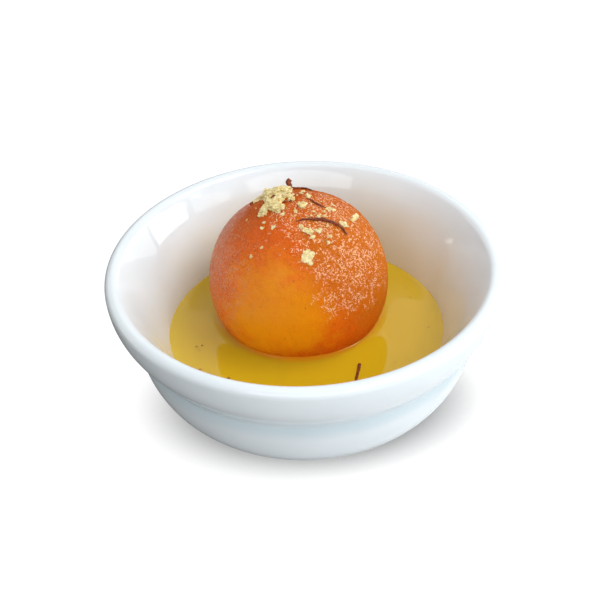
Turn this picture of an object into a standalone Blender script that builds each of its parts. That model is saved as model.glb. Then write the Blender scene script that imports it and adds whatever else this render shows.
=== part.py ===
"""A gulab jamun half sunk in sugar syrup, in its small thick-walled porcelain bowl.

Units are metres and +Z is up. The origin is the middle of the bowl's foot, on the table.
The bowl is turned about Z. The dumpling sits behind the middle of the bowl, on its floor.
Objects: bowl, syrup, gulab_jamun.
"""

import math
from collections import namedtuple

import bmesh
import bpy
from mathutils import Vector

MM = 0.001

RIM_RADIUS = 49.0 * MM
BOWL_HEIGHT = 38.0 * MM
LIP_RADIUS = 2.0 * MM  # half the thickness of the round lip
FOOT_RADIUS = 28.6 * MM
FOOT_WIDTH = 2.8 * MM  # width of the flat ring that the bowl stands on
FOOT_CHAMFER = 0.5 * MM
FOOT_SLOPE = 0.8 * MM  # how far the ring's inner side leans
FOOT_RECESS = 1.4 * MM
FLOOR_RADIUS = 11.0 * MM  # the flat middle of the floor
FLOOR_HEIGHT = 5.6 * MM
WALL_RADIUS = 34.4 * MM  # inside radius where the syrup ends
FLARE = math.radians(52.0)  # how steep the flared inside is where it meets the lip

# Contents
SYRUP_LEVEL = 18.3 * MM
BALL_RADIUS = 22.4 * MM
BALL_X = -1.35 * MM
BALL_Y = 7.4 * MM
GAP = 0.3 * MM  # left between pieces that touch
MERGE = 0.001 * MM  # corners closer than this are one

TURN_STEPS = 64
LIP_STEPS = 8
BALL_SUBDIVISIONS = 4

# Low swellings of the hand-rolled ball: direction, height, and how narrow each one is
SWELLINGS = (
    ((0.45, -0.10, 0.89), 0.35 * MM, 5.0),
    ((-0.75, -0.40, 0.53), 0.30 * MM, 4.0),
    ((0.80, -0.55, -0.20), 0.25 * MM, 4.0),
    ((-0.35, -0.92, -0.15), -0.30 * MM, 4.0),
    ((-0.20, 0.30, 0.93), -0.20 * MM, 6.0),
    ((-0.68, 0.44, 0.59), 0.35 * MM, 8.0),
    ((0.30, 0.90, 0.30), 0.30 * MM, 3.0),
)

# Points where the bowl's section changes: the heading of the curve there in degrees (0 outwards,
# 90 up), and how far it holds that heading before and after the point
Turn = namedtuple("Turn", "radius height heading before after")
FLOOR_EDGE = Turn(FLOOR_RADIUS, FLOOR_HEIGHT, 0.0, 0.0, 11.0 * MM)
SHORE = Turn(WALL_RADIUS, SYRUP_LEVEL, 66.0, 7.0 * MM, 6.0 * MM)
LIP_INNER = Turn(
    RIM_RADIUS - LIP_RADIUS * (1.0 + math.sin(FLARE)),
    BOWL_HEIGHT - LIP_RADIUS * (1.0 - math.cos(FLARE)),
    math.degrees(FLARE),
    6.0 * MM,
    0.0,
)
LIP_OUTER = Turn(RIM_RADIUS, BOWL_HEIGHT - LIP_RADIUS, -93.0, 0.0, 5.5 * MM)
BAND_LOW = Turn(43.3 * MM, 23.7 * MM, -128.0, 4.8 * MM, 2.3 * MM)
BODY_TOP = Turn(42.1 * MM, 18.4 * MM, -102.0, 3.0 * MM, 6.0 * MM)
BODY_LOW = Turn(30.2 * MM, 1.5 * MM, -147.0, 9.5 * MM, 0.0)

PORCELAIN = (0.86, 0.87, 0.88, 1.0)
FRIED_DOUGH = (0.62, 0.16, 0.02, 1.0)
SUGAR_SYRUP = (0.60, 0.40, 0.04, 1.0)


def clear_scene():
    for old in list(bpy.data.objects):
        bpy.data.objects.remove(old, do_unlink=True)


def arc(centre, radius, start_deg, end_deg, steps):
    """Points along a circular arc in the (radius, height) plane, both ends included."""
    points = []
    for step in range(steps + 1):
        angle = math.radians(start_deg + (end_deg - start_deg) * step / steps)
        points.append((centre[0] + radius * math.cos(angle), centre[1] + radius * math.sin(angle)))
    return points


def sweep(start, end, steps):
    """Points along a smooth curve from one turn to the next, both ends included."""
    a, b = math.radians(start.heading), math.radians(end.heading)
    p0, p3 = Vector((start.radius, start.height)), Vector((end.radius, end.height))
    p1 = p0 + start.after * Vector((math.cos(a), math.sin(a)))
    p2 = p3 - end.before * Vector((math.cos(b), math.sin(b)))
    points = []
    for step in range(steps + 1):
        t = step / steps
        s = 1.0 - t
        points.append(tuple(s**3 * p0 + 3 * s * s * t * p1 + 3 * s * t * t * p2 + t**3 * p3))
    return points


def joined(*runs):
    """One line from several runs that share their end points."""
    line = list(runs[0])
    for run in runs[1:]:
        line.extend(run[1:])
    return line


def below_syrup():
    """The inside of the bowl from the edge of its flat floor up to where the syrup ends."""
    return sweep(FLOOR_EDGE, SHORE, 9)


def inside_profile():
    """The inside of the bowl, from the middle of its floor to the inner side of the lip."""
    floor = [(0.0, FLOOR_HEIGHT), (FLOOR_RADIUS, FLOOR_HEIGHT)]
    return joined(floor, below_syrup(), sweep(SHORE, LIP_INNER, 7))


def lip_profile():
    """The round lip, from its inner side over the top to its outer side."""
    centre = (RIM_RADIUS - LIP_RADIUS, BOWL_HEIGHT - LIP_RADIUS)
    return arc(centre, LIP_RADIUS, LIP_INNER.heading + 90.0, LIP_OUTER.heading + 90.0, LIP_STEPS)


def outside_profile():
    """The outside of the bowl, from the outer side of the lip to the middle of its underside."""
    band = sweep(LIP_OUTER, BAND_LOW, 8)
    groove = sweep(BAND_LOW, BODY_TOP, 6)
    body = sweep(BODY_TOP, BODY_LOW, 9)
    inner_foot = FOOT_RADIUS - FOOT_WIDTH
    foot = [
        (BODY_LOW.radius, BODY_LOW.height),
        (FOOT_RADIUS + FOOT_CHAMFER, FOOT_CHAMFER),
        (FOOT_RADIUS, 0.0),
        (inner_foot, 0.0),
        (inner_foot - FOOT_SLOPE, FOOT_RECESS),
        (0.0, FOOT_RECESS),
    ]
    return joined(band, groove, body, foot)


def turned(profile, name):
    """A closed solid turned about Z from a profile that starts and ends on the axis."""
    shape = bmesh.new()
    corners = [shape.verts.new((radius, 0.0, height)) for radius, height in profile]
    edges = [shape.edges.new(pair) for pair in zip(corners, corners[1:])]
    bmesh.ops.spin(
        shape,
        geom=corners + edges,
        cent=(0.0, 0.0, 0.0),
        axis=(0.0, 0.0, 1.0),
        angle=math.tau,
        steps=TURN_STEPS,
        use_duplicate=False,
    )
    bmesh.ops.remove_doubles(shape, verts=shape.verts, dist=MERGE)
    bmesh.ops.recalc_face_normals(shape, faces=shape.faces)
    mesh = bpy.data.meshes.new(name)
    shape.to_mesh(mesh)
    shape.free()
    return mesh


def ball_mesh(name, spare):
    """The hand-rolled ball about its own middle, its skin moved out by spare."""
    shape = bmesh.new()
    bmesh.ops.create_icosphere(shape, subdivisions=BALL_SUBDIVISIONS, radius=1.0)
    for corner in shape.verts:
        way = corner.co.normalized()
        reach = BALL_RADIUS + spare
        for direction, height, narrow in SWELLINGS:
            nearness = way.dot(Vector(direction).normalized())
            reach += height * math.exp(narrow * (nearness - 1.0))
        corner.co = way * reach
    mesh = bpy.data.meshes.new(name)
    shape.to_mesh(mesh)
    shape.free()
    return mesh


def finish(name, colour, roughness):
    """A plain gloss finish of one colour."""
    material = bpy.data.materials.new(name)
    material.use_nodes = True
    shader = material.node_tree.nodes["Principled BSDF"]
    shader.inputs["Base Color"].default_value = colour
    shader.inputs["Roughness"].default_value = roughness
    shader.inputs["Metallic"].default_value = 0.0
    return material


def place(name, mesh, material, spot=(0.0, 0.0, 0.0)):
    """Adds one named, smooth-shaded piece to the scene."""
    piece = bpy.data.objects.new(name, mesh)
    bpy.context.collection.objects.link(piece)
    piece.location = spot
    mesh.materials.clear()
    mesh.materials.append(material)
    mesh.shade_smooth()
    mesh.set_sharp_from_angle(angle=math.radians(40.0))
    return piece


def ball_spot():
    """The ball's middle: its lowest point is one gap above the floor."""
    lowest = min(corner.co.z for corner in ball_mesh("measure", 0.0).vertices)
    return (BALL_X, BALL_Y, FLOOR_HEIGHT + GAP - lowest)


def make_bowl():
    profile = joined(inside_profile(), lip_profile(), outside_profile())
    return place("bowl", turned(profile, "bowl"), finish("porcelain", PORCELAIN, 0.12))


def make_ball(spot):
    return place("gulab_jamun", ball_mesh("gulab_jamun", 0.0), finish("fried_dough", FRIED_DOUGH, 0.3), spot)


def make_syrup(spot):
    """The pool: the bowl's inside up to the level, with room cut out for the ball."""
    curve = below_syrup()
    side = []
    for before, spot_on_wall, after in zip(curve, curve[1:], curve[2:]):
        along = (Vector(after) - Vector(before)).normalized()
        side.append((spot_on_wall[0] - GAP * along.y, spot_on_wall[1] + GAP * along.x))
    edge_radius = SHORE.radius - GAP / math.sin(math.radians(SHORE.heading))
    bottom = FLOOR_HEIGHT + GAP
    profile = [
        (0.0, bottom),
        (FLOOR_RADIUS, bottom),
        *side,
        (edge_radius, SYRUP_LEVEL),
        (0.0, SYRUP_LEVEL),
    ]
    pool = place("syrup", turned(profile, "syrup"), finish("sugar_syrup", SUGAR_SYRUP, 0.05))

    room = bpy.data.objects.new("ball_room", ball_mesh("ball_room", GAP))
    bpy.context.collection.objects.link(room)
    room.location = spot
    room.hide_render = True
    room.display_type = "WIRE"
    cut = pool.modifiers.new("ball_room", "BOOLEAN")
    cut.operation = "DIFFERENCE"
    cut.solver = "EXACT"
    cut.object = room
    return pool


def main():
    clear_scene()
    spot = ball_spot()
    make_bowl()
    make_ball(spot)
    make_syrup(spot)


main()
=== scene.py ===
"""The looks of a gulab jamun half sunk in sugar syrup, in its small porcelain bowl.

The bowl is turned about Z and stands on z = 0. The ball rests on the bowl's floor, a little
behind the middle. Every length is in metres, most of them written in millimetres times MM.
Only the tables of toppings are plain millimetres, and their docstrings say so.
"""

import logging
import math
import random
from collections.abc import Sequence
from dataclasses import dataclass
from enum import Enum
from itertools import cycle, pairwise

import bpy
from mathutils import Matrix, Vector
from mathutils.bvhtree import BVHTree


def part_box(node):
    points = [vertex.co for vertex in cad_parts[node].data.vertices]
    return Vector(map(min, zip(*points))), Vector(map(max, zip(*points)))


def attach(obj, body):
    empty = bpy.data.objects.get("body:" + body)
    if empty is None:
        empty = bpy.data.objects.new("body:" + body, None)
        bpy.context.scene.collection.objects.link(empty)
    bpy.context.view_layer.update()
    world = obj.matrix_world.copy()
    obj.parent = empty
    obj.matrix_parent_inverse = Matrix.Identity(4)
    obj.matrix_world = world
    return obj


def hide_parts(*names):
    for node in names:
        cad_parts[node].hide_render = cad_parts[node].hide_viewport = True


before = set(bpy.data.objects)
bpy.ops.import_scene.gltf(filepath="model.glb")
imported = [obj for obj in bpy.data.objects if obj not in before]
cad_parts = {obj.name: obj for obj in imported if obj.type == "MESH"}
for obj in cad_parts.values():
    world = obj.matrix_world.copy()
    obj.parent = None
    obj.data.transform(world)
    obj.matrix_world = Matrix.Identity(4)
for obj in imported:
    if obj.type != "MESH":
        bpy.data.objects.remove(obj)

logging.basicConfig(level=logging.INFO, format="%(message)s")
log = logging.getLogger("gulab_jamun")

MM = 0.001
BODY = "root"
LUCK_SEED = 29
DOUBLED = 0.002 * MM  # corners closer than this are one
BLACK, WHITE = (0.0, 0.0, 0.0), (1.0, 1.0, 1.0)
SKY = 60 * MM  # how far over the ball's middle a look straight down starts
DOWN = Vector((0.0, 0.0, -1.0))
Colour = tuple[float, float, float]
Route = tuple[tuple[float, float, float, float], ...]
Piece = bpy.types.Object
Material = bpy.types.Material
Socket = bpy.types.NodeSocket


# --------------------------------------------------------------------------------------------
# Modelling and wiring by hand
# --------------------------------------------------------------------------------------------


class Bench:
    """The modeller's hands: short calls round Blender's own modelling tools."""

    @staticmethod
    def clear() -> None:
        """Leave edit mode and let go of everything."""
        if bpy.context.object and bpy.context.object.mode != "OBJECT":
            bpy.ops.object.mode_set(mode="OBJECT")
        bpy.ops.object.select_all(action="DESELECT")

    @staticmethod
    def take(piece: Piece) -> None:
        """Select one piece alone and make it active.

        Args:
            piece: the piece.
        """
        Bench.clear()
        piece.select_set(True)
        bpy.context.view_layer.objects.active = piece

    @staticmethod
    def named(name: str) -> Piece:
        """Give the primitive just added its name.

        Args:
            name: the name, for the piece and its mesh.

        Returns:
            The piece.
        """
        piece = bpy.context.object
        piece.name = name
        piece.data.name = name
        return piece

    @staticmethod
    def settle(piece: Piece) -> None:
        """Put the piece's place, turn and size into its mesh."""
        Bench.take(piece)
        bpy.ops.object.transform_apply(location=True, rotation=True, scale=True)

    @staticmethod
    def apply_modifiers(piece: Piece) -> None:
        """Apply every modifier, in order.

        Args:
            piece: the piece that has them.
        """
        Bench.take(piece)
        for modifier in list(piece.modifiers):
            bpy.ops.object.modifier_apply(modifier=modifier.name)

    @staticmethod
    def smooth(piece: Piece, degrees: float) -> None:
        """Shade the piece smooth, with edges sharper than the angle left sharp."""
        Bench.take(piece)
        bpy.ops.object.shade_smooth_by_angle(angle=math.radians(degrees))

    @staticmethod
    def close(piece: Piece) -> None:
        """Merge doubled corners and turn every face outwards.

        Args:
            piece: the piece to close.
        """
        Bench.take(piece)
        bpy.ops.object.mode_set(mode="EDIT")
        bpy.ops.mesh.select_all(action="SELECT")
        bpy.ops.mesh.remove_doubles(threshold=DOUBLED)
        bpy.ops.mesh.normals_make_consistent(inside=False)
        bpy.ops.object.mode_set(mode="OBJECT")

    @staticmethod
    def join(pieces: list[Piece], name: str) -> Piece:
        """Join several pieces into one.

        Args:
            pieces: the pieces, used up by the join.
            name: the joined piece's name.

        Returns:
            The joined piece.
        """
        Bench.clear()
        for piece in pieces:
            piece.select_set(True)
        bpy.context.view_layer.objects.active = pieces[0]
        bpy.ops.object.join()
        return Bench.named(name)

    @staticmethod
    def copy(master: Piece, placing: Matrix) -> Piece:
        """Copy a master with a mesh of its own, moved by placing.

        Args:
            master: the modelled piece, at the origin.
            placing: where the copy goes, how it is turned and how large it is.

        Returns:
            The copy, its place already in its mesh.
        """
        mesh = master.data.copy()
        mesh.transform(placing)
        piece = bpy.data.objects.new(master.name, mesh)
        bpy.context.collection.objects.link(piece)
        return piece

    @staticmethod
    def turned(name: str, outline: list[Vector], steps: int) -> Piece:
        """Draw half a section by extruding one corner along it, then spin it about Z.

        Args:
            name: the piece's name.
            outline: (radius, height) points, from axis to axis.
            steps: how many steps the full turn has.

        Returns:
            The closed, turned piece.
        """
        Bench.clear()
        bpy.ops.mesh.primitive_plane_add(size=MM, location=(0.0, 0.0, 0.0))
        piece = Bench.named(name)
        bpy.ops.object.mode_set(mode="EDIT")
        bpy.ops.mesh.select_mode(type="VERT")
        bpy.ops.mesh.merge(type="CENTER")
        start = outline[0]
        bpy.ops.transform.translate(value=(start.x, 0.0, start.y))
        for here, there in pairwise(outline):
            step = (there.x - here.x, 0.0, there.y - here.y)
            bpy.ops.mesh.extrude_region_move(TRANSFORM_OT_translate={"value": step})
        bpy.ops.mesh.select_all(action="SELECT")
        bpy.ops.mesh.spin(
            steps=steps, angle=math.tau, center=(0.0, 0.0, 0.0), axis=(0.0, 0.0, 1.0)
        )
        bpy.ops.object.mode_set(mode="OBJECT")
        Bench.close(piece)
        return piece

    @staticmethod
    def displace(piece: Piece, grain: float, height: float, depth: int = 2) -> None:
        """Raise and sink the skin by cloudy relief of one grain size.

        Args:
            piece: the piece to displace.
            grain: the relief's grain, in metres.
            height: the whole range of the relief, in metres.
            depth: how many times finer clouds are laid over the first.
        """
        texture = bpy.data.textures.new(f"{piece.name}_clouds", type="CLOUDS")
        texture.noise_scale = grain
        texture.noise_depth = depth
        relief = piece.modifiers.new("relief", "DISPLACE")
        relief.texture = texture
        relief.texture_coords = "LOCAL"
        relief.strength = height
        relief.mid_level = 0.5


class Wiring:
    """Nodes of one material, placed and joined in short calls."""

    def __init__(self, name: str) -> None:
        """Start a material that holds one principled shader.

        Args:
            name: the material's name.
        """
        self.material = bpy.data.materials.new(name)
        self.material.use_nodes = True
        self.tree = self.material.node_tree
        self.tree.nodes.clear()
        self.output = self.add("ShaderNodeOutputMaterial")
        self.shader = self.add("ShaderNodeBsdfPrincipled")
        self.join(self.shader.outputs["BSDF"], self.output.inputs["Surface"])
        self.place = self.add("ShaderNodeTexCoord").outputs["Object"]

    def add(self, kind: str, **settings: object) -> bpy.types.Node:
        """Add a node.

        Args:
            kind: the node's type.
            settings: its plain properties.

        Returns:
            The node.
        """
        node = self.tree.nodes.new(kind)
        for key, value in settings.items():
            setattr(node, key, value)
        return node

    def join(self, source: Socket, target: Socket) -> None:
        """Link two sockets."""
        self.tree.links.new(source, target)

    def set(self, **values: object) -> None:
        """Set constant values on the shader's own sockets, named with underscores for spaces."""
        for key, value in values.items():
            self.shader.inputs[key.replace("_", " ")].default_value = value

    def feed(self, socket: str, source: Socket) -> None:
        """Link a source to one of the shader's sockets."""
        self.join(source, self.shader.inputs[socket])

    def moved(self, spot: Vector, size: float) -> Socket:
        """Object coordinates counted from a spot, in units of a size.

        Args:
            spot: the new origin.
            size: the length that becomes one unit.

        Returns:
            The coordinates.
        """
        mapping = self.add("ShaderNodeMapping", vector_type="TEXTURE")
        mapping.inputs["Location"].default_value = spot
        mapping.inputs["Scale"].default_value = (size, size, size)
        self.join(self.place, mapping.inputs["Vector"])
        return mapping.outputs["Vector"]

    def part(self, source: Socket, axis: str) -> Socket:
        """One of a vector's parts.

        Args:
            source: the vector.
            axis: which part, X, Y or Z.

        Returns:
            The part.
        """
        split = self.add("ShaderNodeSeparateXYZ")
        self.join(source, split.inputs[0])
        return split.outputs[axis]

    def length(self, source: Socket, stretch: Colour = (1.0, 1.0, 1.0)) -> Socket:
        """How long a vector is.

        Args:
            source: the vector.
            stretch: what its parts are multiplied by first.

        Returns:
            The length.
        """
        stretched = self.add("ShaderNodeVectorMath", operation="MULTIPLY")
        self.join(source, stretched.inputs[0])
        stretched.inputs[1].default_value = stretch
        measured = self.add("ShaderNodeVectorMath", operation="LENGTH")
        self.join(stretched.outputs["Vector"], measured.inputs[0])
        return measured.outputs["Value"]

    def product(self, *sources: Socket | float) -> Socket:
        """Several values multiplied together.

        Args:
            sources: the values, each a socket or a number.

        Returns:
            The product.
        """
        result = sources[0]
        for source in sources[1:]:
            result = self.maths("MULTIPLY", result, source)
        return result

    def noise(
        self, grain: float, detail: float = 3.0, roughness: float = 0.5, swirl: float = 0.0
    ) -> Socket:
        """Soft noise whose lumps are about one grain across.

        Args:
            grain: the lump size, in metres.
            detail: octaves of finer lumps.
            roughness: how strong the finer lumps are.
            swirl: how far the pattern is distorted.

        Returns:
            The noise, about 0.3 to 0.7.
        """
        node = self.add("ShaderNodeTexNoise")
        node.inputs["Scale"].default_value = 1.0 / grain
        node.inputs["Detail"].default_value = detail
        node.inputs["Roughness"].default_value = roughness
        node.inputs["Distortion"].default_value = swirl
        self.join(self.place, node.inputs["Vector"])
        return node.outputs["Fac"]

    def mottled(
        self, low: float, high: float, grain: float, detail: float = 3.0, roughness: float = 0.5
    ) -> Socket:
        """A value that wanders with soft noise.

        Args:
            low: the least value.
            high: the greatest value.
            grain: the lump size, in metres.
            detail: octaves of finer lumps.
            roughness: how strong the finer lumps are.

        Returns:
            The value.
        """
        return self.between(self.noise(grain, detail, roughness), 0.3, 0.7, low, high)

    def cells(self, grain: float, spread: float = 1.0) -> Socket:
        """Distance to scattered points one grain apart.

        Args:
            grain: the distance between points, in metres.
            spread: how irregularly the points lie.

        Returns:
            The distance, in grains.
        """
        node = self.add("ShaderNodeTexVoronoi")
        node.inputs["Scale"].default_value = 1.0 / grain
        node.inputs["Randomness"].default_value = spread
        self.join(self.place, node.inputs["Vector"])
        return node.outputs["Distance"]

    def between(self, source: Socket, low: float, high: float, start: float, end: float) -> Socket:
        """Map low..high of a source onto start..end, clamped and eased.

        Args:
            source: the value to map.
            low: the source's value that gives start.
            high: the source's value that gives end.
            start: the result at low.
            end: the result at high.

        Returns:
            The mapped value.
        """
        node = self.add("ShaderNodeMapRange", interpolation_type="SMOOTHSTEP")
        for key, value in zip(("From Min", "From Max", "To Min", "To Max"), (low, high, start, end)):
            node.inputs[key].default_value = value
        self.join(source, node.inputs["Value"])
        return node.outputs["Result"]

    def maths(self, operation: str, a: Socket | float, b: Socket | float) -> Socket:
        """One sum on two values.

        Args:
            operation: the sum's name.
            a: the first value, a socket or a number.
            b: the second value.

        Returns:
            The result.
        """
        node = self.add("ShaderNodeMath", operation=operation)
        for socket, value in zip(node.inputs, (a, b)):
            if isinstance(value, Socket):
                self.join(value, socket)
            else:
                socket.default_value = value
        return node.outputs["Value"]

    def blend(
        self, share: Socket, first: Socket | Colour, second: Socket | Colour, how: str = "MIX"
    ) -> Socket:
        """Blend two colours.

        Args:
            share: how much of the second shows.
            first: the colour at share 0.
            second: the colour at share 1.
            how: the blend type.

        Returns:
            The blended colour.
        """
        node = self.add("ShaderNodeMix", data_type="RGBA", blend_type=how)
        colour_inputs = [socket for socket in node.inputs if socket.type == "RGBA"]
        self.join(share, node.inputs[0])
        for socket, value in zip(colour_inputs, (first, second)):
            if isinstance(value, Socket):
                self.join(value, socket)
            else:
                socket.default_value = (*value, 1.0)
        return next(socket for socket in node.outputs if socket.type == "RGBA")

    def bump(self, source: Socket, height: float, under: Socket | None = None) -> Socket:
        """Turn a height pattern into a bumped normal.

        Args:
            source: the height, 0 to 1.
            height: how high 1 stands, in metres.
            under: a coarser bumped normal to build on.

        Returns:
            The normal.
        """
        node = self.add("ShaderNodeBump")
        node.inputs["Strength"].default_value = 1.0
        node.inputs["Distance"].default_value = height
        self.join(source, node.inputs["Height"])
        if under is not None:
            self.join(under, node.inputs["Normal"])
        return node.outputs["Normal"]


# --------------------------------------------------------------------------------------------
# Finishes
# --------------------------------------------------------------------------------------------


@dataclass(frozen=True)
class GlazeFinish:
    """White porcelain under a clear glossy glaze, bare where the foot was wiped, with painted warm
    shade and bounce light round the ball and painted shade round the outer groove.
    """

    white: Colour = (0.820, 0.880, 0.910)
    thin_white: Colour = (0.785, 0.850, 0.885)
    cloud_grain: float = 19 * MM
    pinhole_spacing: float = 3.1 * MM
    film_and_painted_bounce_tint: Colour = (0.930, 0.780, 0.470)
    painted_bounce_middle: Vector = Vector((3.0 * MM, 7.0 * MM, 11.0 * MM))
    painted_bounce_reach: float = 42 * MM
    painted_bounce_grain: float = 9 * MM
    shore: float = 18.3 * MM
    shore_depth: float = 4.0 * MM
    painted_groove_shade: Colour = (0.800, 0.870, 0.890)
    groove: float = 21.3 * MM
    groove_reach: float = 4.4 * MM
    wall_slope: float = 0.6
    wall_inner: float = 25.0 * MM
    wall_outer: float = 26.6 * MM
    above_foot: float = 3.0 * MM
    bare_clay: Colour = (0.640, 0.600, 0.540)
    bare_height: float = 0.35 * MM
    bare_roughness: float = 0.75
    gloss: float = 0.03
    gloss_grain: float = 7 * MM
    wave_grain: float = 9 * MM
    wave_height: float = 0.030 * MM
    peel_grain: float = 1.4 * MM
    peel_height: float = 0.0025 * MM

    def inside(self, wiring: Wiring, height: Socket) -> Socket:
        """Tell the inside of the bowl from the outside.

        Args:
            wiring: the material's nodes.
            height: the height over the table.

        Returns:
            1 on the inside, 0 on the outside.
        """
        radius = wiring.length(wiring.place, (1.0, 1.0, 0.0))
        lean = wiring.maths("SUBTRACT", radius, wiring.product(height, self.wall_slope))
        within = wiring.between(lean, self.wall_inner, self.wall_outer, 1.0, 0.0)
        glazed = wiring.between(height, self.above_foot, self.above_foot * 1.5, 0.0, 1.0)
        return wiring.product(within, glazed)

    def film_and_painted_bounce(self, wiring: Wiring, height: Socket) -> Socket:
        """How strongly a place is tinted warm: painted shade and bounce light from the ball near it,
        and the film of syrup left at the shore.

        Args:
            wiring: the material's nodes.
            height: the height over the table.

        Returns:
            The strength, 0 to 1.
        """
        away = wiring.length(wiring.moved(self.painted_bounce_middle, self.painted_bounce_reach))
        uneven = wiring.maths("ADD", away, wiring.mottled(-0.02, 0.02, self.painted_bounce_grain))
        # Painted warm shade and bounce light from the ball, strongest close to it.
        near = wiring.between(uneven, 0.64, 1.16, 0.88, 0.0)
        shore = wiring.between(height, self.shore, self.shore + self.shore_depth, 0.35, 0.0)
        return wiring.maths("MAXIMUM", near, shore)

    def make(self) -> Material:
        """Build the glaze."""
        wiring = Wiring("porcelain")
        height = wiring.part(wiring.place, "Z")
        inside = self.inside(wiring, height)
        outside = wiring.maths("SUBTRACT", 1.0, inside)
        cloud = wiring.between(wiring.noise(self.cloud_grain, 4.0), 0.35, 0.70, 0.0, 1.0)
        tone = wiring.blend(cloud, self.white, self.thin_white)
        pinholes = wiring.between(wiring.cells(self.pinhole_spacing), 0.030, 0.055, 0.35, 0.0)
        tone = wiring.blend(pinholes, tone, self.bare_clay)
        # Multiply in the painted shade and bounce light from the ball, and the syrup film at the shore.
        film_and_painted_bounce = wiring.product(self.film_and_painted_bounce(wiring, height), inside)
        tone = wiring.blend(film_and_painted_bounce, tone, self.film_and_painted_bounce_tint, "MULTIPLY")
        # Painted shade: the outside is darkened round the groove.
        off_groove = wiring.maths("ABSOLUTE", wiring.maths("SUBTRACT", height, self.groove), 0.0)
        painted_groove_shade = wiring.product(wiring.between(off_groove, 0.0, self.groove_reach, 1.0, 0.0), outside)
        tone = wiring.blend(painted_groove_shade, tone, self.painted_groove_shade, "MULTIPLY")
        bare = wiring.between(height, self.bare_height, self.bare_height * 1.6, 1.0, 0.0)
        wiring.feed("Base Color", wiring.blend(bare, tone, self.bare_clay))
        sheen = wiring.mottled(self.gloss, self.gloss * 2.0, self.gloss_grain, 2.0)
        clay = wiring.product(bare, self.bare_roughness)
        wiring.feed("Roughness", wiring.maths("MAXIMUM", sheen, clay))
        waves = wiring.bump(wiring.noise(self.wave_grain, 1.0), self.wave_height)
        peel = wiring.noise(self.peel_grain, 2.0)
        wiring.feed("Normal", wiring.bump(peel, self.peel_height, waves))
        wiring.set(IOR=1.52)
        return wiring.material


@dataclass(frozen=True)
class Patch:
    """A patchy region of the ball: which way it lies, and the cosines at its edge and heart."""

    way: Vector
    edge: float
    heart: float


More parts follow.
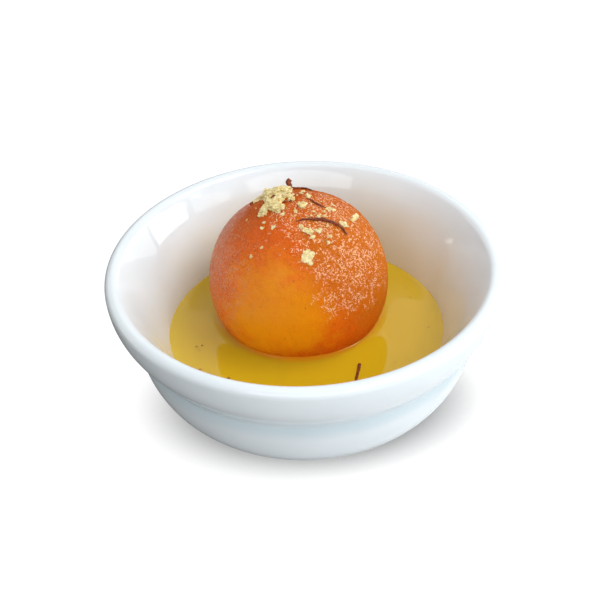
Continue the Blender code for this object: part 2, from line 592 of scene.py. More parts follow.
@dataclass(frozen=True)
class DoughFinish:
    """Fried milk dough, wet with syrup: orange skin, browner in patches, finely pitted, with painted
    shade in the hollows, painted glints and sheen on the wrinkles and painted light on the front.
    """

    middle: Vector
    radius: float
    orange: Colour = (0.760, 0.130, 0.005)
    painted_light_golden: Colour = (0.770, 0.262, 0.004)
    brown: Colour = (0.520, 0.085, 0.003)
    fleck: Colour = (0.340, 0.050, 0.004)
    tan: Colour = (0.600, 0.142, 0.008)
    # Painted shade in the hollows of the wrinkles.
    pitted: Colour = (0.84, 0.76, 0.66)
    painted_dull_sheen: Colour = (0.700, 0.300, 0.130)
    painted_glint: Colour = (1.000, 0.620, 0.380)
    painted_light_side: Patch = Patch(Vector((-0.26, -0.96, 0.11)), 0.66, 0.95)
    smooth_side: Patch = Patch(Vector((-0.26, -0.96, 0.11)), 0.60, 0.98)
    tan_side: Patch = Patch(Vector((0.80, -0.26, 0.54)), 0.45, 0.85)
    brown_side: Patch = Patch(Vector((-0.20, 0.92, 0.32)), -0.10, 0.60)
    creased_side: Patch = Patch(Vector((-0.70, 0.00, 0.71)), 0.62, 0.92)
    painted_sheen_side: Patch = Patch(Vector((-0.93, -0.20, 0.30)), 0.60, 1.05)
    painted_top_glint_side: Patch = Patch(Vector((0.25, -0.15, 0.96)), 0.80, 1.00)
    painted_limb_glint_side: Patch = Patch(Vector((0.80, -0.22, 0.56)), 0.80, 1.12)
    painted_glint_side: Patch = Patch(Vector((0.54, -0.63, 0.55)), 0.85, 0.99)
    wander_grain: float = 8 * MM
    patch_grain: float = 3.6 * MM
    spot_grain: float = 3.2 * MM
    gloss_grain: float = 1.1 * MM
    wrinkle_grain: float = 0.38 * MM
    painted_glint_break: float = 0.62 * MM
    crease_grain: float = 0.80 * MM
    fleck_spacing: float = 2.7 * MM
    fold_grain: float = 1.3 * MM
    fold_height: float = 0.22 * MM
    wrinkle_height: float = 0.40 * MM

    def facing(self, wiring: Wiring, way: Vector) -> Socket:
        """How much a place on the ball lies towards a way.

        Args:
            wiring: the material's nodes.
            way: the way, from the ball's middle.

        Returns:
            The cosine of the angle between them.
        """
        dot = wiring.add("ShaderNodeVectorMath", operation="DOT_PRODUCT")
        wiring.join(wiring.moved(self.middle, self.radius), dot.inputs[0])
        dot.inputs[1].default_value = way
        return dot.outputs["Value"]

    def near(self, wiring: Wiring, patch: Patch, shift: Socket, most: float = 1.0) -> Socket:
        """How near a place is to a patch's heart.

        Args:
            wiring: the material's nodes.
            patch: the patch.
            shift: what moves its edge to and fro.
            most: the result at its heart.

        Returns:
            The nearness, 0 outside the patch.
        """
        towards = wiring.maths("ADD", self.facing(wiring, patch.way), shift)
        return wiring.between(towards, patch.edge, patch.heart, 0.0, most)

    def region(self, wiring: Wiring, patch: Patch) -> Socket:
        """A patch with a ragged edge, 0 to 1."""
        ragged = wiring.noise(self.patch_grain, 3.0, 0.6, 1.5)
        return self.near(wiring, patch, wiring.between(ragged, 0.35, 0.65, -0.09, 0.09))

    def painted_glint_lines(self, wiring: Wiring, wrinkles: Socket) -> Socket:
        """Short curled lines on the wrinkles, where glints and sheen are painted.

        Args:
            wiring: the material's nodes.
            wrinkles: the wrinkles' own noise.

        Returns:
            1 on the lines, 0 off them.
        """
        crest = wiring.maths("ABSOLUTE", wiring.maths("SUBTRACT", wrinkles, 0.52), 0.0)
        lines = wiring.between(crest, 0.01, 0.085, 1.0, 0.0)
        broken = wiring.between(wiring.noise(self.painted_glint_break, 2.0), 0.42, 0.58, 0.0, 1.0)
        return wiring.product(lines, broken)

    def fried_and_painted_light(self, wiring: Wiring, wander: Socket) -> Socket:
        """The broad tones: yellower in front as painted light, tan to the right, browner behind,
        browner low down as partly painted shade, and in spots.

        Args:
            wiring: the material's nodes.
            wander: what makes the edges uneven.

        Returns:
            The colour.
        """
        height = wiring.part(wiring.moved(self.middle, self.radius), "Z")
        # Browner towards the bottom, partly painted shade under the ball.
        low = wiring.between(wiring.maths("ADD", height, wander), -0.66, -0.15, 0.8, 0.0)
        spots = wiring.between(wiring.noise(self.spot_grain, 5.0, 0.65, 0.4), 0.50, 0.75, 0.0, 0.20)
        tone = self.orange
        # The yellower front is painted light.
        for share, colour in (
            (self.near(wiring, self.painted_light_side, wander), self.painted_light_golden),
            (self.near(wiring, self.tan_side, wander), self.tan),
            (low, self.brown),
            (self.near(wiring, self.brown_side, wander, 0.9), self.brown),
            (spots, self.brown),
        ):
            tone = wiring.blend(share, tone, colour)
        return tone

    def make(self) -> Material:
        """Build the skin."""
        wiring = Wiring("fried_dough")
        wander = wiring.mottled(-0.08, 0.08, self.wander_grain, 4.0, 0.6)
        smooth = self.near(wiring, self.smooth_side, wander, 0.70)
        rough = wiring.maths("SUBTRACT", 1.0, smooth)
        wrinkles = wiring.noise(self.wrinkle_grain, 1.5, 0.45, 0.3)
        # Painted shade in the hollows of the wrinkles, less on the smooth front.
        painted_pit_share = wiring.product(wiring.between(wrinkles, 0.30, 0.55, 1.0, 0.0), rough)
        tone = wiring.blend(painted_pit_share, self.fried_and_painted_light(wiring, wander), self.pitted, "MULTIPLY")
        creases = wiring.between(wiring.noise(self.crease_grain, 3.0, 0.6, 1.2), 0.37, 0.53, 0.75, 0.0)
        creased = wiring.product(creases, self.region(wiring, self.creased_side))
        tone = wiring.blend(creased, tone, self.brown)
        flecks = wiring.between(wiring.cells(self.fleck_spacing), 0.05, 0.10, 0.6, 0.0)
        tone = wiring.blend(flecks, tone, self.fleck)
        # Painted glints and sheen: pale lines on the wrinkles, brightest on the right and on top,
        # duller on the left.
        painted_glint_lines = self.painted_glint_lines(wiring, wrinkles)
        for patch, colour in (
            (self.painted_sheen_side, self.painted_dull_sheen),
            (self.painted_top_glint_side, self.painted_glint),
            (self.painted_limb_glint_side, self.painted_glint),
            (self.painted_glint_side, self.painted_glint),
        ):
            share = wiring.product(painted_glint_lines, self.region(wiring, patch))
            tone = wiring.blend(wiring.between(share, 0.10, 0.60, 0.0, 0.88), tone, colour)
        wiring.feed("Base Color", tone)
        wiring.feed("Roughness", wiring.mottled(0.40, 0.60, self.gloss_grain))
        wet = wiring.between(self.facing(wiring, self.painted_sheen_side.way), 0.10, 0.80, 0.15, 0.70)
        wiring.feed("Coat Weight", wet)
        folds = wiring.product(wiring.noise(self.fold_grain, 2.0, 0.5, 0.5), rough)
        folded = wiring.bump(folds, self.fold_height)
        wrinkled = wiring.bump(wiring.product(wrinkles, rough), self.wrinkle_height, folded)
        wiring.feed("Normal", wrinkled)
        wiring.feed("Coat Normal", wrinkled)
        wiring.set(
            Specular_IOR_Level=0.0,
            Coat_Roughness=0.06,
            Coat_IOR=1.42,
            Subsurface_Weight=0.45,
            Subsurface_Radius=(1.0, 0.35, 0.08),
            Subsurface_Scale=4.0 * MM,
        )
        return wiring.material


@dataclass(frozen=True)
class SyrupFinish:
    """Clear gold sugar syrup: tinted where light enters, deeper where the pool is deeper, with a
    painted orange glow of the ball's light close round the ball.
    """

    middle: Vector
    entry: Colour = (1.000, 0.720, 0.025)
    painted_ball_glow: Colour = (1.000, 0.360, 0.010)
    passed: Colour = (1.000, 0.800, 0.100)
    depth: Colour = (0.990, 0.880, 0.100)
    density: float = 26.0
    clearness: float = 0.62
    ball_side: float = 19.6 * MM
    painted_glow_reach: float = 3.2 * MM
    swell_grain: float = 11 * MM
    swell: float = 0.020 * MM

    def make(self) -> Material:
        """Build the syrup."""
        wiring = Wiring("sugar_syrup")
        away = wiring.length(wiring.moved(self.middle, 1.0), (1.0, 1.0, 0.0))
        # Painted orange glow of the ball's light in the syrup close round it.
        far = wiring.between(away, self.ball_side, self.ball_side + self.painted_glow_reach, 0.0, 1.0)
        wiring.feed("Base Color", wiring.blend(far, self.painted_ball_glow, self.entry))
        wiring.set(Roughness=0.0, IOR=1.45, Transmission_Weight=self.clearness)
        wiring.feed("Normal", wiring.bump(wiring.noise(self.swell_grain, 1.0), self.swell))
        passing = wiring.add("ShaderNodeBsdfTransparent")
        passing.inputs["Color"].default_value = (*self.passed, 1.0)
        shadow = wiring.add("ShaderNodeLightPath").outputs["Is Shadow Ray"]
        mix = wiring.add("ShaderNodeMixShader")
        wiring.join(shadow, mix.inputs["Fac"])
        wiring.join(wiring.shader.outputs["BSDF"], mix.inputs[1])
        wiring.join(passing.outputs["BSDF"], mix.inputs[2])
        wiring.join(mix.outputs["Shader"], wiring.output.inputs["Surface"])
        absorption = wiring.add("ShaderNodeVolumeAbsorption")
        absorption.inputs["Color"].default_value = (*self.depth, 1.0)
        absorption.inputs["Density"].default_value = self.density
        wiring.join(absorption.outputs["Volume"], wiring.output.inputs["Volume"])
        return wiring.material


@dataclass(frozen=True)
class NutFinish:
    """Dry crumbs of pistachio: pale cream to yellow green, each grain its own tone, with painted shade
    between the grains.
    """

    cream: Colour = (0.960, 0.890, 0.560)
    yellow: Colour = (0.900, 0.760, 0.370)
    green: Colour = (0.600, 0.520, 0.190)
    shade: Colour = (0.700, 0.520, 0.210)
    meal_grain: float = 0.30 * MM
    pit_spacing: float = 0.62 * MM
    dryness_grain: float = 0.5 * MM
    tooth_grain: float = 0.22 * MM
    tooth: float = 0.06 * MM

    def make(self) -> Material:
        """Build the nut."""
        wiring = Wiring("pistachio")
        luck = wiring.add("ShaderNodeNewGeometry").outputs["Random Per Island"]
        tone = wiring.blend(wiring.between(luck, 0.25, 0.75, 0.0, 1.0), self.cream, self.yellow)
        tone = wiring.blend(wiring.between(luck, 0.86, 0.98, 0.0, 0.8), tone, self.green)
        mealy = wiring.between(wiring.noise(self.meal_grain, 3.0, 0.6), 0.35, 0.65, 0.0, 0.5)
        tone = wiring.blend(mealy, tone, self.yellow)
        # Painted shade between the grains.
        painted_pit_share = wiring.between(wiring.cells(self.pit_spacing, spread=0.9), 0.36, 0.62, 0.0, 0.70)
        tone = wiring.blend(painted_pit_share, tone, self.shade)
        wiring.feed("Base Color", tone)
        wiring.feed("Roughness", wiring.mottled(0.55, 0.85, self.dryness_grain))
        wiring.feed("Normal", wiring.bump(wiring.noise(self.tooth_grain, 3.0, 0.6), self.tooth))
        wiring.set(
            Subsurface_Weight=0.15, Subsurface_Radius=(1.0, 0.8, 0.3), Subsurface_Scale=0.5 * MM
        )
        return wiring.material


@dataclass(frozen=True)
class SaffronFinish:
    """A soaked saffron thread: dark red brown, streaked redder, finely bumped."""

    dark: Colour = (0.095, 0.014, 0.004)
    red: Colour = (0.360, 0.075, 0.018)
    streak_grain: float = 0.45 * MM
    gloss_grain: float = 0.8 * MM
    rib_grain: float = 0.25 * MM
    rib: float = 0.08 * MM

    def make(self) -> Material:
        """Build the thread."""
        wiring = Wiring("saffron")
        streaks = wiring.between(wiring.noise(self.streak_grain, 4.0, 0.65, 0.6), 0.38, 0.66, 0.0, 1.0)
        wiring.feed("Base Color", wiring.blend(streaks, self.dark, self.red))
        wiring.feed("Roughness", wiring.mottled(0.40, 0.60, self.gloss_grain))
        wiring.feed("Normal", wiring.bump(wiring.noise(self.rib_grain), self.rib))
        wiring.set(IOR=1.38)
        return wiring.material


@dataclass(frozen=True)
class TableFinish:
    """A plain white table with a faint tooth, glowing a little from within like a light table, with a
    painted shadow round the bowl's foot.
    """

    white: Colour = (0.200, 0.200, 0.200)
    toothed: Colour = (0.190, 0.190, 0.190)
    tooth_grain: float = 1.5 * MM
    glow: float = 1.0
    painted_shadow_spot: Vector = Vector((1.5 * MM, -6.4 * MM, 0.0))
    painted_shadow_stretch: float = 1.48
    painted_shadow_inner: float = 20.5 * MM
    painted_shadow_outer: float = 50.5 * MM
    bounce: Colour = (0.86, 0.86, 0.86)
    painted_shade_bounce: Colour = (0.05, 0.05, 0.05)
    painted_shade_reach: float = 110 * MM

    def make(self) -> Material:
        """Build the table top, with a painted soft shadow round the bowl's foot."""
        wiring = Wiring("table")
        tooth = wiring.mottled(0.0, 1.0, self.tooth_grain)
        wiring.feed("Base Color", wiring.blend(tooth, self.white, self.toothed))
        # Painted shadow: the table's glow is dimmed in a soft oval round the bowl's foot.
        away = wiring.length(wiring.moved(self.painted_shadow_spot, 1.0), (1.0, self.painted_shadow_stretch, 0.0))
        painted_light_share = wiring.between(away, self.painted_shadow_inner, self.painted_shadow_outer, 0.0, 0.95)
        wiring.feed("Emission Color", wiring.blend(painted_light_share, BLACK, WHITE))
        wiring.set(Roughness=1.0, Emission_Strength=self.glow, Specular_IOR_Level=0.0)
        return wiring.material

    def make_bounce(self) -> Material:
        """Build the sheet that throws light back up, its colour darker towards the left as painted
        shade.
        """
        wiring = Wiring("table_bounce")
        right = wiring.part(wiring.place, "X")
        # Painted shade: the sheet's colour darkens towards the left, where less light would fall.
        painted_light_share = wiring.between(right, -self.painted_shade_reach, self.painted_shade_reach * 0.5, 0.0, 1.0)
        wiring.feed("Base Color", wiring.blend(painted_light_share, self.painted_shade_bounce, self.bounce))
        wiring.set(Roughness=1.0, Specular_IOR_Level=0.0)
        return wiring.material


# --------------------------------------------------------------------------------------------
# Sections
# --------------------------------------------------------------------------------------------


def arc(centre: Vector, radius: float, start_deg: float, end_deg: float, steps: int) -> list[Vector]:
    """Points along a circular arc in the (radius, height) plane.

    Args:
        centre: the arc's centre.
        radius: its radius.
        start_deg: where it starts.
        end_deg: where it ends.
        steps: how many steps it has.

    Returns:
        The points, both ends included.
    """
    points = []
    for step in range(steps + 1):
        angle = math.radians(start_deg + (end_deg - start_deg) * step / steps)
        points.append(centre + radius * Vector((math.cos(angle), math.sin(angle))))
    return points


@dataclass(frozen=True)
class Bend:
    """A point where a section turns.

    It has a radius, a height and a heading in degrees, 0 outwards and 90 up, and it holds that
    heading for a length before and after the point.
    """

    radius: float
    height: float
    heading: float
    before: float
    after: float

    @property
    def spot(self) -> Vector:
        """The point itself."""
        return Vector((self.radius, self.height))

    @property
    def way(self) -> Vector:
        """The heading as a unit vector."""
        angle = math.radians(self.heading)
        return Vector((math.cos(angle), math.sin(angle)))


def sweep(bends: Sequence[Bend], steps: Sequence[int]) -> list[Vector]:
    """Points along a smooth line through several bends.

    Args:
        bends: where the line goes.
        steps: how many steps it has from each bend to the next.

    Returns:
        The points, both ends included.
    """
    line = [bends[0].spot]
    for (start, end), count in zip(pairwise(bends), steps):
        a, b = start.spot, start.spot + start.way * start.after
        c, d = end.spot - end.way * end.before, end.spot
        for step in range(1, count + 1):
            t = step / count
            s = 1.0 - t
            line.append(s**3 * a + 3 * s * s * t * b + 3 * s * t * t * c + t**3 * d)
    return line


# --------------------------------------------------------------------------------------------
# The pieces
# --------------------------------------------------------------------------------------------


@dataclass
class Bowl:
    """The thick-walled bowl: round lip, a band under it, a soft groove and a round body."""

    rim_radius: float = 49.0 * MM
    lip_radius: float = 2.0 * MM
    height: float = 38.0 * MM
    syrup_level: float = 18.3 * MM
    syrup_radius: float = 34.4 * MM
    wall_rise: float = 66.0
    flare: float = 52.0
    floor_radius: float = 11.0 * MM
    floor_height: float = 5.6 * MM
    floor_pull: float = 11.0 * MM
    shore_pull: float = 7.0 * MM
    wall_pull: float = 6.0 * MM
    foot_radius: float = 28.6 * MM
    foot_width: float = 2.8 * MM
    foot_round: float = 0.5 * MM
    foot_recess: float = 1.4 * MM
    recess_slope: float = 2.4 * MM
    lip_tuck: float = 3.0
    lip_pull: float = 5.5 * MM
    band_low: Bend = Bend(43.3 * MM, 23.7 * MM, -128.0, 4.8 * MM, 2.3 * MM)
    body_top: Bend = Bend(42.1 * MM, 18.4 * MM, -102.0, 3.0 * MM, 6.0 * MM)
    body_low: Bend = Bend(30.2 * MM, 1.5 * MM, -147.0, 9.5 * MM, 0.0)
    turn_steps: int = 192

    def inside_run(self) -> list[Vector]:
        """The inside, from the edge of the flat floor up to the lip."""
        flare = math.radians(self.flare)
        lip_foot = Bend(
            self.rim_radius - self.lip_radius * (1.0 + math.sin(flare)),
            self.height - self.lip_radius * (1.0 - math.cos(flare)),
            self.flare,
            self.wall_pull,
            0.0,
        )
        floor_edge = Bend(self.floor_radius, self.floor_height, 0.0, 0.0, self.floor_pull)
        shore = Bend(
            self.syrup_radius, self.syrup_level, self.wall_rise, self.shore_pull, self.wall_pull
        )
        return sweep((floor_edge, shore, lip_foot), (22, 26))

    def outside_run(self) -> list[Vector]:
        """The outside, from the lip down to where the body meets the foot."""
        lip_height = self.height - self.lip_radius
        lip = Bend(self.rim_radius, lip_height, -90.0 - self.lip_tuck, 0.0, self.lip_pull)
        return sweep((lip, self.band_low, self.body_top, self.body_low), (22, 14, 24))

    def underside(self) -> list[Vector]:
        """The foot ring and the recess inside it, out to in."""
        inner = self.foot_radius - self.foot_width
        soft = self.foot_round
        outer_turn = arc(Vector((self.foot_radius, soft)), soft, 0.0, -90.0, 5)
        inner_turn = arc(Vector((inner, soft)), soft, -90.0, -180.0, 5)
        wall = Bend(inner - soft, self.foot_recess * 0.5, 90.0, 0.0, 0.4 * MM)
        ceiling = Bend(inner - self.recess_slope, self.foot_recess, 180.0, 1.0 * MM, 0.0)
        middle = Vector((0.0, self.foot_recess))
        return [*outer_turn, *inner_turn, *sweep((wall, ceiling), (6,)), middle]

    def outline(self) -> list[Vector]:
        """The whole half section, from the floor's middle round to the underside's middle."""
        lip_centre = Vector((self.rim_radius - self.lip_radius, self.height - self.lip_radius))
        lip = arc(lip_centre, self.lip_radius, self.flare + 90.0, -self.lip_tuck, 20)
        floor = [Vector((radius, self.floor_height)) for radius in (0.0, self.floor_radius * 0.5)]
        inside = self.inside_run()
        return [*floor, *inside, *lip[1:-1], *self.outside_run(), *self.underside()]

    def wall_radius(self, height: float) -> float:
        """The inside radius at a height.

        Args:
            height: the height over the table, above the bowl's floor.

        Returns:
            The radius.
        """
        for low, high in pairwise(self.inside_run()):
            if low.y <= height <= high.y:
                share = (height - low.y) / max(high.y - low.y, 1e-9)
                return low.x + share * (high.x - low.x)
        return self.rim_radius - self.lip_radius

    def build(self, finish: GlazeFinish) -> Piece:
        """Turn the bowl and glaze it.

        Args:
            finish: the glaze.

        Returns:
            The bowl.
        """
        piece = Bench.turned("porcelain_bowl", self.outline(), self.turn_steps)
        Bench.smooth(piece, 50.0)
        piece.data.materials.append(finish.make())
        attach(piece, BODY)
        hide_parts("bowl")
        return piece


@dataclass
class Ball:
    """The gulab jamun: a hand-rolled ball with a finely pitted, wet skin."""

    middle: Vector = Vector((-1.35 * MM, 7.4 * MM, 28.36 * MM))
    radius: float = 22.4 * MM
    coarse_cuts: int = 15
    fine_levels: int = 3
    lean: float = 81.7
    relief: tuple[tuple[float, float, int], ...] = (
        (5.5 * MM, 0.26 * MM, 1),
        (1.5 * MM, 0.12 * MM, 2),
        (0.85 * MM, 0.14 * MM, 2),
    )
    pulls: tuple[tuple[Vector, float, float], ...] = (
        (Vector((0.45, -0.10, 0.89)), 0.35 * MM, 5.0),
        (Vector((-0.75, -0.40, 0.53)), 0.30 * MM, 4.0),
        (Vector((0.80, -0.55, -0.20)), 0.25 * MM, 4.0),
        (Vector((-0.35, -0.92, -0.15)), -0.30 * MM, 4.0),
        (Vector((-0.20, 0.30, 0.93)), -0.20 * MM, 6.0),
        (Vector((-0.68, 0.44, 0.59)), 0.35 * MM, 8.0),
        (Vector((0.30, 0.90, 0.30)), 0.30 * MM, 3.0),
    )

    def build(self, finish: DoughFinish) -> Piece:
        """Model the ball from a cube rounded to a sphere, and dress its skin.

        Args:
            finish: the fried skin.

        Returns:
            The ball.
        """
        Bench.clear()
        bpy.ops.mesh.primitive_cube_add(size=2 * self.radius, rotation=(0.0, 0.0, math.radians(45.0)))
        piece = Bench.named("gulab_jamun_ball")
        Bench.settle(piece)
        piece.rotation_euler.x = math.radians(self.lean)
        Bench.settle(piece)
        bpy.ops.object.mode_set(mode="EDIT")
        bpy.ops.mesh.select_all(action="SELECT")
        bpy.ops.mesh.subdivide(number_cuts=self.coarse_cuts)
        bpy.ops.transform.tosphere(value=1.0)
        bpy.ops.object.mode_set(mode="OBJECT")
        rounding = piece.modifiers.new("rounding", "SUBSURF")
        rounding.levels = rounding.render_levels = self.fine_levels
        Bench.apply_modifiers(piece)
        self.roll_by_hand(piece)
        piece.location = self.middle
        Bench.settle(piece)
        for grain, height, depth in self.relief:
            Bench.displace(piece, grain, height, depth)
        Bench.apply_modifiers(piece)
        Bench.smooth(piece, 180.0)
        piece.data.materials.append(finish.make())
        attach(piece, BODY)
        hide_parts("gulab_jamun")
        return piece

    def roll_by_hand(self, piece: Piece) -> None:
        """Pull the round skin out, or press it in, softly round a few places.

        Args:
            piece: the ball, about its own middle.
        """
        ways = [(way.normalized(), height, narrow) for way, height, narrow in self.pulls]
        for corner in piece.data.vertices:
            out = corner.co.normalized()
            reach = self.radius
            for way, height, narrow in ways:
                reach += height * math.exp(narrow * (out.dot(way) - 1.0))
            corner.co = out * reach


@dataclass
class Skin:
    """The outside of a finished piece, asked for places on it."""

    tree: BVHTree
    middle: Vector

    @classmethod
    def of(cls, pieces: list[Piece], middle: Vector) -> "Skin":
        """Read the skin of finished pieces together.

        Args:
            pieces: the pieces.
            middle: the point that the skin faces away from.

        Returns:
            The skin.
        """
        corners: list[Vector] = []
        faces: list[tuple[int, ...]] = []
        for piece in pieces:
            first = len(corners)
            corners.extend(corner.co.copy() for corner in piece.data.vertices)
            for face in piece.data.polygons:
                faces.append(tuple(first + index for index in face.vertices))
        return cls(BVHTree.FromPolygons(corners, faces), middle)

    def above(self, right: float, back: float) -> tuple[Vector, Vector]:
        """The place on the skin seen from straight above.

        Args:
            right: distance to the right of the middle.
            back: distance behind it.

        Returns:
            The place and the way out there.
        """
        spot = self.tree.ray_cast(self.middle + Vector((right, back, SKY)), DOWN)[0]
        return spot, (spot - self.middle).normalized()

    def seat(self, right: float, back: float, turn: float, size: Vector, lift: float = 0.0) -> Matrix:
        """Where a master goes to lie on the skin.

        Args:
            right: distance to the right of the middle.
            back: distance behind it.
            turn: the turn about the way out, in degrees.
            size: the master's size along its own axes.
            lift: how far it stands off the skin.

        Returns:
            The placing matrix.
        """
        spot, out = self.above(right, back)
        side = Vector((0.0, 1.0, 0.0)).cross(out).normalized()
        ahead = out.cross(side)
        axes = Matrix((side, ahead, out)).transposed().to_4x4()
        return (
            Matrix.Translation(spot + out * lift)
            @ axes
            @ Matrix.Rotation(math.radians(turn), 4, "Z")
            @ Matrix.Diagonal((*size, 1.0))
        )


@dataclass
class HeapSkin(Skin):
    """The heap's skin, falling back to what lies under it."""

    under: Skin

    def above(self, right: float, back: float) -> tuple[Vector, Vector]:
        """The heap's place seen from above, or the place under it.

        Args:
            right: distance to the right of the middle.
            back: distance behind it.

        Returns:
            The place and the way out from what lies under the heap.
        """
        hit = self.tree.ray_cast(self.middle + Vector((right, back, SKY)), DOWN)[0]
        spot, out = self.under.above(right, back)
        if hit is not None and hit.z > spot.z:
            spot = hit
        return spot, out


@dataclass(frozen=True)
class Circle:
    """One level circle of a lofted shape."""

    centre: Vector
    radius: float


@dataclass
class Pool:
    """The syrup: a still pool that climbs a little where it wets the ball and the wall."""

    bowl: Bowl
    ball: Ball
    into_wall: float = 0.12 * MM
    into_ball: float = 0.60 * MM
    ball_climb: float = 1.2 * MM
    wall_climb: float = 0.3 * MM
    climb_reach: float = 1.7 * MM
    under_ball: float = 3.4 * MM
    ring_corners: int = 192
    top_rings: int = 60
    side_rings: int = 14
    side_crowding: float = 1.6
    shore_gap: float = 0.3 * MM

    def ball_radius(self, height: float, depth: float = 0.0) -> float:
        """The radius of the ball's level section at a height.

        Args:
            height: the height over the table.
            depth: how far under the skin it is measured.

        Returns:
            The radius, 0 past the ball.
        """
        drop = height - self.ball.middle.z
        return math.sqrt(max((self.ball.radius - depth) ** 2 - drop**2, 0.0))

    def surface(self, spot: Vector) -> float:
        """The height of the syrup over a place, with its climbs at the ball and the wall.

        Args:
            spot: the place.

        Returns:
            The height over the table.
        """
        level = self.bowl.syrup_level
        from_ball = (spot - self.ball.middle).xy.length - self.ball_radius(level + self.ball_climb)
        from_wall = self.bowl.wall_radius(level + self.wall_climb) - spot.xy.length
        climb = self.ball_climb * math.exp(-max(from_ball, 0.0) / self.climb_reach)
        return level + climb + self.wall_climb * math.exp(-max(from_wall, 0.0) / self.climb_reach)

    def top_circles(self) -> list[Circle]:
        """Circles over the surface, from inside the ball's skin out into the wall."""
        level = self.bowl.syrup_level
        shore = self.ball.middle.xy.to_3d()
        inner = self.ball_radius(level + self.ball_climb, self.into_ball)
        outer = self.bowl.wall_radius(level + self.wall_climb) + self.into_wall
        circles = []
        for ring in range(self.top_rings + 1):
            share = 0.5 - 0.5 * math.cos(math.pi * ring / self.top_rings)
            centre = shore * (1.0 - share)
            centre.z = level
            circles.append(Circle(centre, inner + (outer - inner) * share))
        return circles

    def wall_circles(self) -> list[Circle]:
        """Circles down the wall, just inside the porcelain, to the flat floor's edge."""
        top = self.bowl.syrup_level + self.wall_climb - self.shore_gap
        line = [point for point in self.bowl.inside_run() if point.y < top]
        circles = []
        for before, after in reversed(list(pairwise(line))):
            along = (after - before).normalized()
            centre = Vector((0.0, 0.0, before.y - self.into_wall * along.x))
            circles.append(Circle(centre, before.x + self.into_wall * along.y))
        return circles

    def ball_circles(self) -> list[Circle]:
        """Circles from under the ball up inside its skin to where the surface starts."""
        axis = self.ball.middle.xy.to_3d()
        floor = self.bowl.floor_height - self.into_wall
        top = self.bowl.syrup_level + self.ball_climb
        inner = self.ball.radius - self.into_ball
        foot = self.ball.middle.z - math.sqrt(inner**2 - self.under_ball**2)
        circles = [Circle(axis + Vector((0.0, 0.0, floor)), self.under_ball)]
        for ring in range(self.side_rings + 1):
            height = foot + (top - foot) * (ring / self.side_rings) ** self.side_crowding
            radius = self.ball_radius(height, self.into_ball)
            circles.append(Circle(axis + Vector((0.0, 0.0, height)), radius))
        return circles

    def build(self, finish: SyrupFinish) -> Piece:
        """Loft the pool ring by ring until it closes on itself, then fill it.

        Args:
            finish: the syrup.

        Returns:
            The pool.
        """
        circles = [*self.top_circles(), *self.wall_circles(), *self.ball_circles()]
        Bench.clear()
        first = circles[0]
        bpy.ops.mesh.primitive_circle_add(
            vertices=self.ring_corners, radius=first.radius, location=first.centre
        )
        piece = Bench.named("syrup_pool")
        Bench.settle(piece)
        bpy.ops.object.mode_set(mode="EDIT")
        bpy.ops.mesh.select_all(action="SELECT")
        for here, there in pairwise(circles):
            step = tuple(there.centre - here.centre)
            bpy.ops.mesh.extrude_region_move(TRANSFORM_OT_translate={"value": step})
            size = there.radius / here.radius
            bpy.ops.transform.resize(value=(size, size, 1.0), center_override=there.centre)
        bpy.ops.object.mode_set(mode="OBJECT")
        surface_corners = self.ring_corners * (self.top_rings + 1)
        for corner in piece.data.vertices[:surface_corners]:
            corner.co.z = self.surface(corner.co)
        Bench.close(piece)
        Bench.smooth(piece, 40.0)
        piece.data.materials.append(finish.make())
        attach(piece, BODY)
        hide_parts("syrup")
        return piece


class CrumbShape(Enum):
    """The shapes that grated nut breaks into."""

    GRAIN = "grain"
    CHIP = "chip"
    SHRED = "shred"
    FLAKE = "flake"


@dataclass(frozen=True)
class Clump:
    """One clump of crumbs, in millimetres: its place from the ball's middle, spread and turn."""

    right: float
    back: float
    length: float
    width: float
    turn: float
    grains: int
    grain_size: float


class CrumbMasters:
    """Crumbs modelled once, one millimetre across, and copied everywhere."""

    raggedness = 0.13 * MM
    sizes = {
        CrumbShape.GRAIN: Vector((1.00, 0.82, 0.74)),
        CrumbShape.CHIP: Vector((1.15, 0.75, 0.48)),
        CrumbShape.SHRED: Vector((1.75, 0.48, 0.42)),
        CrumbShape.FLAKE: Vector((1.20, 0.95, 0.30)),
    }

    def __init__(self) -> None:
        """Model the masters."""
        shapes = [*CrumbShape, *CrumbShape]
        self.masters = [self.model(shape, seed) for seed, shape in enumerate(shapes, 5)]

    def model(self, shape: CrumbShape, seed: int) -> Piece:
        """Shape one crumb from a small ball of eighty faces.

        Args:
            shape: the kind of crumb.
            seed: its own unevenness.

        Returns:
            The crumb, at the origin.
        """
        Bench.clear()
        bpy.ops.mesh.primitive_ico_sphere_add(subdivisions=2, radius=0.5 * MM, location=(0.0, 0.0, 0.0))
        piece = Bench.named(f"crumb_{shape.value}_{seed}")
        bpy.ops.object.mode_set(mode="EDIT")
        bpy.ops.mesh.select_all(action="SELECT")
        bpy.ops.transform.resize(value=self.sizes[shape])
        bpy.ops.transform.vertex_random(offset=self.raggedness, uniform=0.6, normal=0.6, seed=seed)
        bpy.ops.object.mode_set(mode="OBJECT")
        return piece

    def drop(self) -> None:
        """Clear the masters away once every copy is made."""
        for piece in self.masters:
            bpy.data.objects.remove(piece, do_unlink=True)


